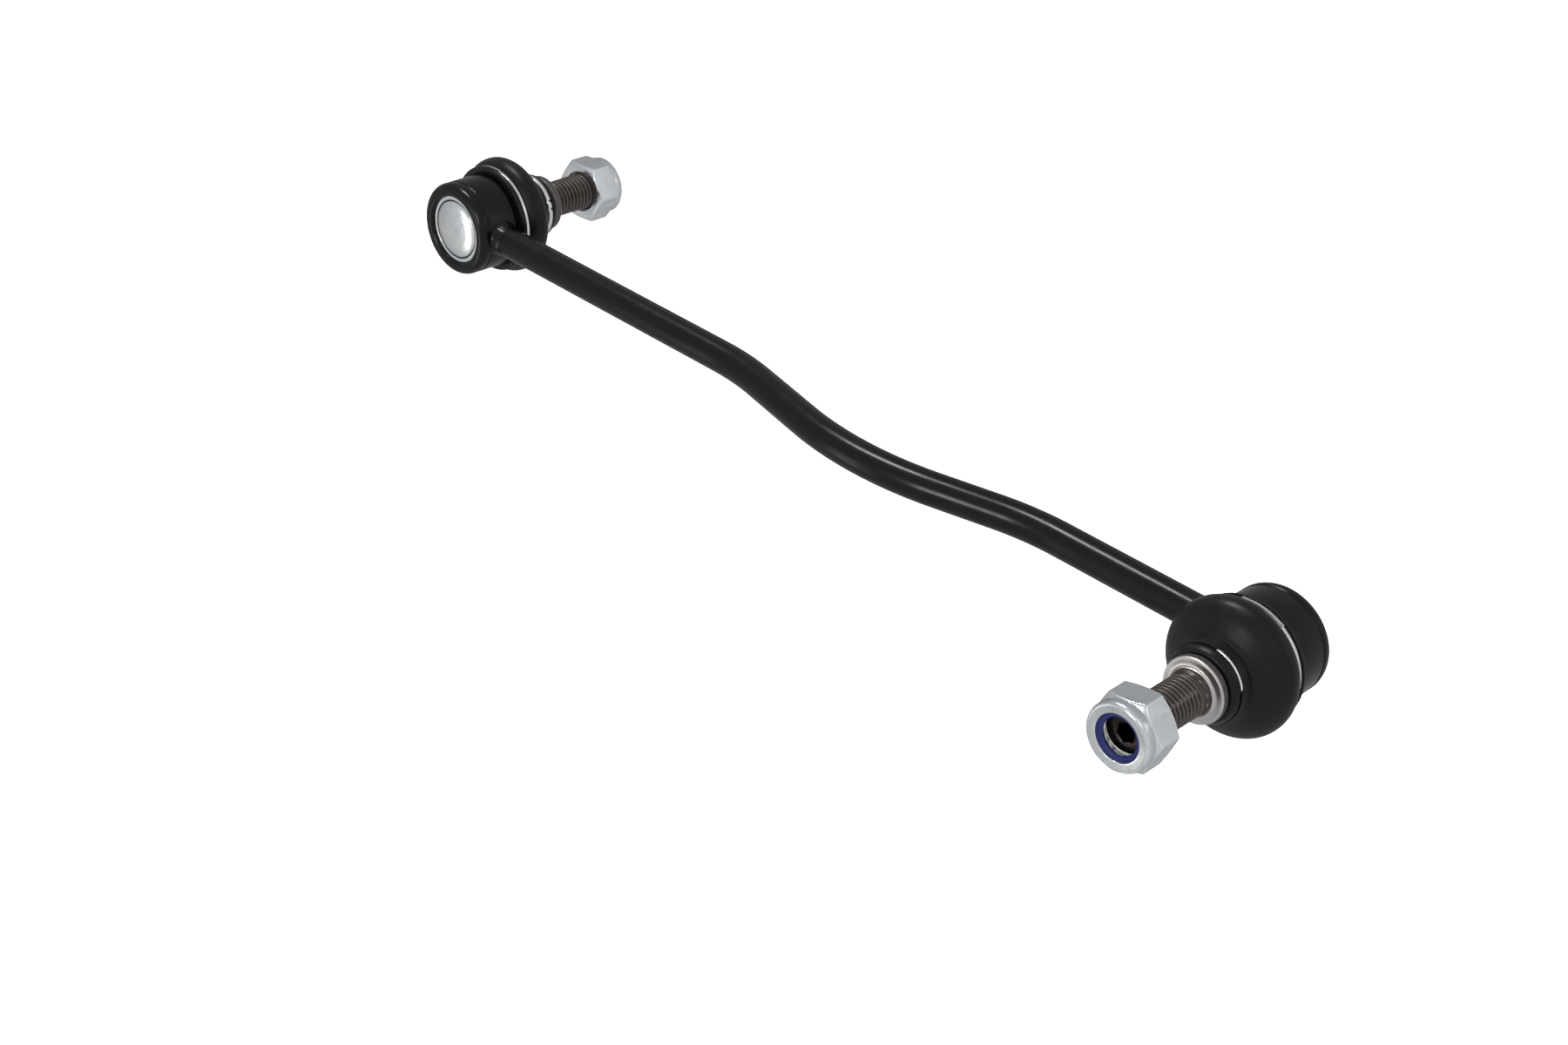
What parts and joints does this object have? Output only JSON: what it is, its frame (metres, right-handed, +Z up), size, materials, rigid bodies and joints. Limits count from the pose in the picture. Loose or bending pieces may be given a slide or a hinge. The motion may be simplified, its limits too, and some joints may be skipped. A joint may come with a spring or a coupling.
{
  "type": "stabilizer bar link",
  "caption": "Bowed rod link for an anti-roll bar, with a booted ball joint welded to each end; the threaded studs point opposite ways and carry hexagonal lock nuts.",
  "frame": {"origin": "centre of the bounding box: on the link's mid-length, mid-way between the tips of the two studs' nuts", "axes": "+X along the link from the left joint to the right one, +Y the way the left stud points (the right stud points to -Y), +Z up, square to both; the rod bows towards -Y"},
  "size_m": [0.3486, 0.1176, 0.0382],
  "materials": {
    "black_paint": "gloss",
    "painted_weld": "satin",
    "zinc_cap": "zinc plated, satin",
    "zinc_nut": "zinc plated, satin",
    "acetal": "matte",
    "phosphated_steel": "phosphated, machined collar face",
    "black_rubber": "satin",
    "ring_steel": "bright",
    "blue_nylon": "satin"
  },
  "bodies": {
    "link": {"link_rod": "black_paint", "housing_left": "black_paint", "weld_bead_left": "painted_weld", "closing_cap_left": "zinc_cap", "ball_seat_left": "acetal", "foot_ring_left": "ring_steel", "housing_right": "black_paint", "weld_bead_right": "painted_weld", "closing_cap_right": "zinc_cap", "ball_seat_right": "acetal", "foot_ring_right": "ring_steel"},
    "boot_left": {"dust_boot_left": "black_rubber"},
    "boot_neck_left": {"neck_ring_left": "ring_steel"},
    "stud_left": {"ball_stud_left": "phosphated_steel"},
    "insert_left": {"nut_insert_left": "blue_nylon"},
    "nut_left": {"lock_nut_left": "zinc_nut"},
    "boot_right": {"dust_boot_right": "black_rubber"},
    "boot_neck_right": {"neck_ring_right": "ring_steel"},
    "stud_right": {"ball_stud_right": "phosphated_steel"},
    "insert_right": {"nut_insert_right": "blue_nylon"},
    "nut_right": {"lock_nut_right": "zinc_nut"}
  },
  "joints": [
    {"name": "ball_tilt_up_left", "type": "hinge", "parent": "link", "child": "boot_left", "pos_m": [-0.15525, 0.00282, 0], "axis": [1, 0, 0], "range_deg": [-18, 18], "deforming": ["dust_boot_left"]},
    {"name": "ball_tilt_side_left", "type": "hinge", "parent": "boot_left", "child": "boot_neck_left", "pos_m": [-0.15525, 0.00282, 0], "axis": [0, 0, 1], "range_deg": [-18, 18], "deforming": ["dust_boot_left"]},
    {"name": "ball_spin_left", "type": "hinge", "parent": "boot_neck_left", "child": "stud_left", "pos_m": [-0.15525, 0.00282, 0], "axis": [0, 1, 0], "continuous": true},
    {"name": "nut_travel_left", "type": "slide", "parent": "stud_left", "child": "insert_left", "axis": [0, -1, 0], "range_m": [-0.009, 0.0105], "deforming": ["nut_insert_left"]},
    {"name": "nut_turn_left", "type": "hinge", "parent": "insert_left", "child": "nut_left", "pos_m": [-0.15525, 0.05183, 0], "axis": [0, -1, 0], "range_deg": [-2162, 2522]},
    {"name": "ball_tilt_up_right", "type": "hinge", "parent": "link", "child": "boot_right", "pos_m": [0.15525, 0.00082, 0], "axis": [1, 0, 0], "range_deg": [-18, 18], "deforming": ["dust_boot_right"]},
    {"name": "ball_tilt_side_right", "type": "hinge", "parent": "boot_right", "child": "boot_neck_right", "pos_m": [0.15525, 0.00082, 0], "axis": [0, 0, 1], "range_deg": [-18, 18], "deforming": ["dust_boot_right"]},
    {"name": "ball_spin_right", "type": "hinge", "parent": "boot_neck_right", "child": "stud_right", "pos_m": [0.15525, 0.00082, 0], "axis": [0, -1, 0], "continuous": true},
    {"name": "nut_travel_right", "type": "slide", "parent": "stud_right", "child": "insert_right", "axis": [0, 1, 0], "range_m": [-0.006, 0.015], "deforming": ["nut_insert_right"]},
    {"name": "nut_turn_right", "type": "hinge", "parent": "insert_right", "child": "nut_right", "pos_m": [0.15525, -0.04818, 0], "axis": [0, 1, 0], "range_deg": [-1442, 3602]}
  ],
  "couplings": [
    {"joint": "nut_turn_left", "follows": "nut_travel_left", "rad_per_m": 4188.8},
    {"joint": "nut_turn_right", "follows": "nut_travel_right", "rad_per_m": 4188.8}
  ]
}
